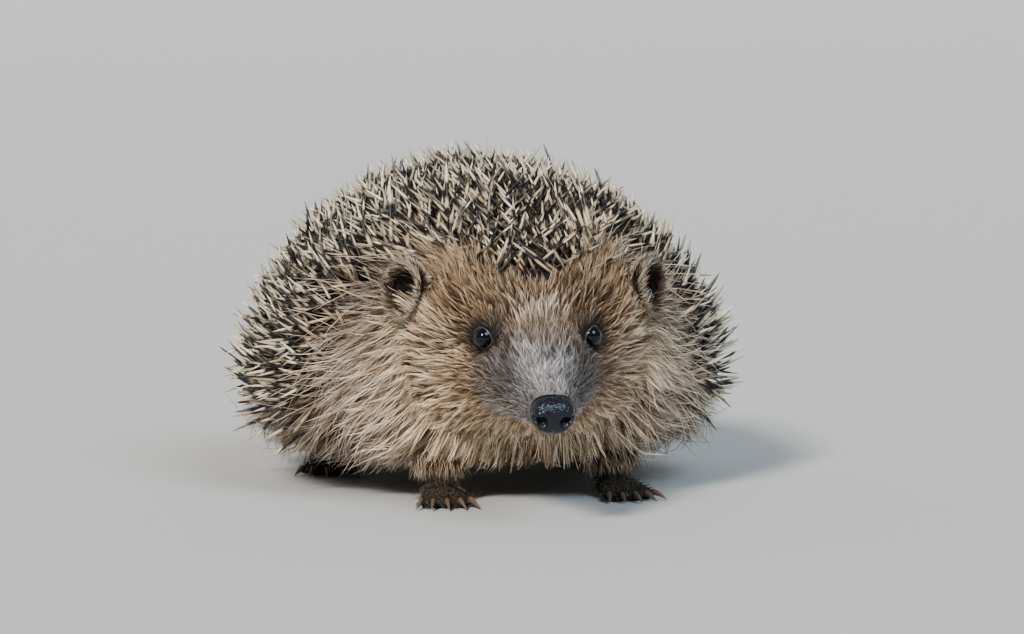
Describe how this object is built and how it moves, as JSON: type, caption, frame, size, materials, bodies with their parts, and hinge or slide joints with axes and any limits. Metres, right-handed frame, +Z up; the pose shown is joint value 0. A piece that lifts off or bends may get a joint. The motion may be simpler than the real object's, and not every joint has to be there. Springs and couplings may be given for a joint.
{
  "type": "hedgehog",
  "caption": "Still, life-size model of a European hedgehog crouching on its feet, nose held low and head turned slightly aside.",
  "frame": {"origin": "on the floor, below the middle of the animal's length and width", "axes": "+Z up, the animal faces -Y, its left side is at +X"},
  "size_m": [0.134, 0.1885, 0.089],
  "materials": {
    "spine_coat": "stiff cream spines with a dark band below the tip, over dark skin",
    "face_fur": "coarse brown and grey hair with pale tips",
    "bare_skin": "dark, thinly haired skin",
    "nose_leather": "moist black pebbled skin",
    "eye_gloss": "wet, near-black"
  },
  "bodies": {
    "root": {"head": "face_fur", "lower_jaw": "face_fur", "nose": "nose_leather", "eye_left": "eye_gloss", "eye_right": "eye_gloss", "ear_left": "bare_skin", "ear_right": "bare_skin", "neck": "spine_coat", "trunk": "spine_coat", "tail": "bare_skin", "foreleg_left": "face_fur", "foreleg_right": "face_fur", "forefoot_left": "bare_skin", "forefoot_right": "bare_skin", "hindleg_left": "face_fur", "hindleg_right": "face_fur", "hindfoot_left": "bare_skin", "hindfoot_right": "bare_skin"}
  },
  "joints": []
}
